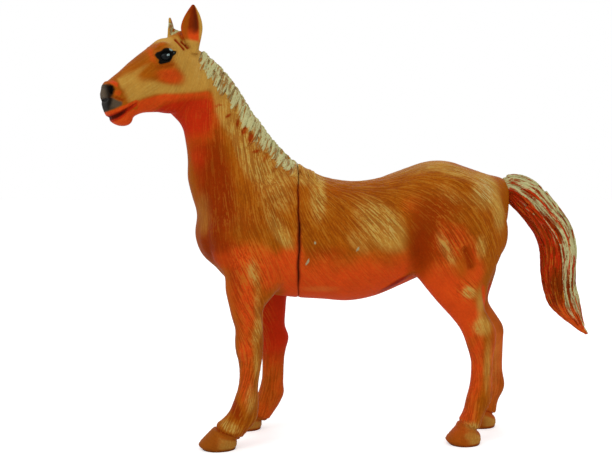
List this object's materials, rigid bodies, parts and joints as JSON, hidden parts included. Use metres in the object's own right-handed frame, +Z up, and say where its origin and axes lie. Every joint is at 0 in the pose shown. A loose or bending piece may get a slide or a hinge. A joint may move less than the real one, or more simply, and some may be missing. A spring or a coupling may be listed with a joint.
{
  "type": "toy horse figure",
  "caption": "Solid moulded plastic toy horse standing square with its head turned to its left, made as a front body, a rear body and a plugged-in tail.",
  "frame": {"origin": "on the floor, at the middle of the figure's bounding box", "axes": "-X towards the horse's nose, +X towards its tail, -Y towards its left side, +Z up"},
  "size_m": [0.1548, 0.0368, 0.1364],
  "materials": {
    "front_paint": "soft PVC, orange-brown paint dry-brushed with ochre, cream mane, satin",
    "rear_paint": "soft PVC, orange-brown paint dry-brushed with ochre, satin",
    "tail_paint": "soft PVC, cream paint over red-brown in the strands, satin",
    "eye_gloss": "black gloss paint drop on the eye"
  },
  "bodies": {
    "root": {"front_body": "front_paint", "rear_body": "rear_paint", "tail": "tail_paint"}
  },
  "joints": []
}
